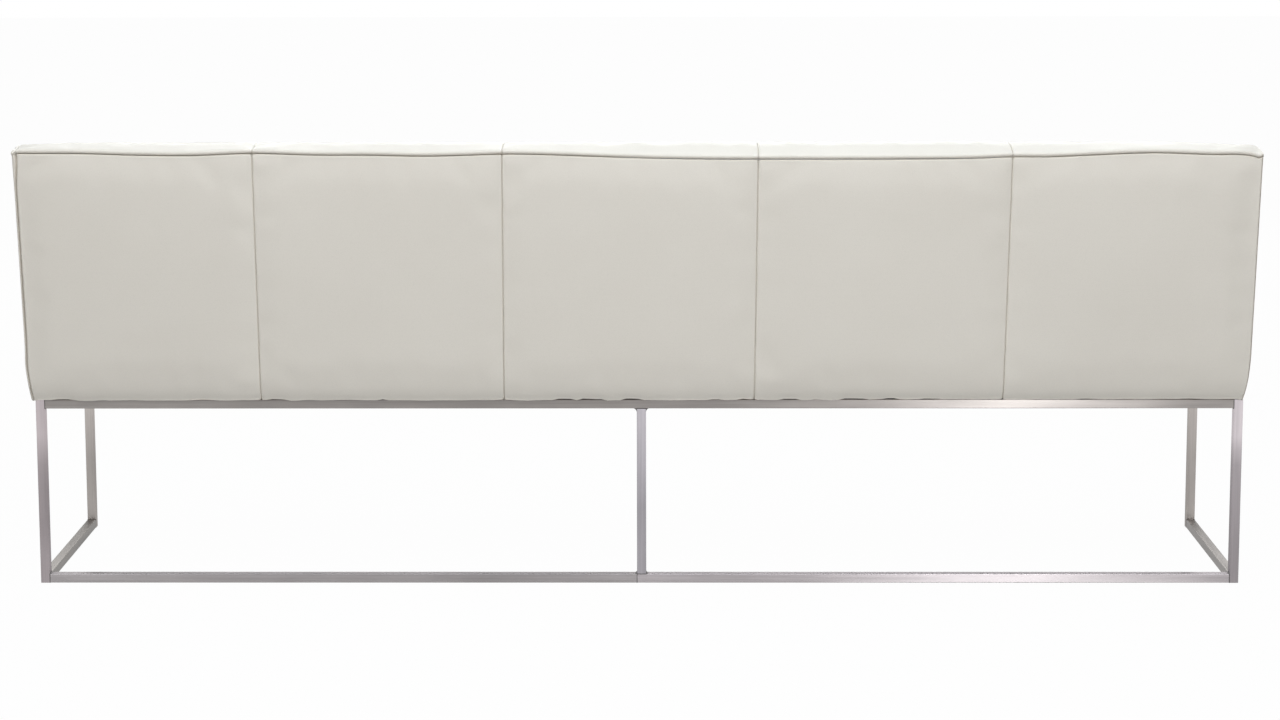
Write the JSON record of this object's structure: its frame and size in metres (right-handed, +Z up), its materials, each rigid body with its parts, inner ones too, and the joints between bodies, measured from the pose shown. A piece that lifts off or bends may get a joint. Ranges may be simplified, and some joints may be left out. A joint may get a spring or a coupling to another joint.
{
  "type": "dining bench",
  "caption": "Long upholstered dining bench with a leaning full-length back, sewn leather panels and an open welded frame of square steel tube on floor rails.",
  "frame": {"origin": "on the floor, under the middle of the bench's length and of its overall depth", "axes": "+X along the bench towards the sitter's left, +Y to the rear, where the back leans, +Z up"},
  "size_m": [2.5, 0.6158, 0.925],
  "materials": {
    "frame_steel": "stainless, brushed along the tube",
    "weld": "weld bead, dark and uneven",
    "bracket_steel": "black, satin",
    "zinc": "zinc plated",
    "plug_plastic": "black, matte",
    "leather": "off-white, fine grain, semi-matte",
    "plywood": "bare",
    "foam": "upholstery foam",
    "wadding": "polyester wadding",
    "lining_cloth": "black non-woven cloth"
  },
  "bodies": {
    "root": {"rear_leg_left": "frame_steel", "rear_leg_right": "frame_steel", "rear_post": "frame_steel", "front_leg_left": "frame_steel", "front_leg_right": "frame_steel", "rear_floor_rail_left": "frame_steel", "rear_floor_rail_right": "frame_steel", "side_floor_rail_left": "frame_steel", "side_floor_rail_right": "frame_steel", "rear_top_rail": "frame_steel", "front_top_rail": "frame_steel", "side_top_rail_left": "frame_steel", "side_top_rail_right": "frame_steel", "cross_bearer_left": "frame_steel", "cross_bearer_centre": "frame_steel", "cross_bearer_right": "frame_steel", "fixing_tabs": "frame_steel", "weld_beads": "weld", "leg_plugs": "plug_plastic", "seat_board": "plywood", "seat_foam": "foam", "seat_cover": "leather", "underside_lining": "lining_cloth", "bearer_bolts": "zinc", "tab_bolts": "zinc", "bolt_washers": "zinc", "tee_nuts": "zinc", "back_board": "plywood", "back_brackets": "bracket_steel", "bracket_screws": "zinc", "back_foam": "foam", "back_wadding": "wadding", "back_cover": "leather", "back_rear_cover": "leather"}
  },
  "joints": []
}
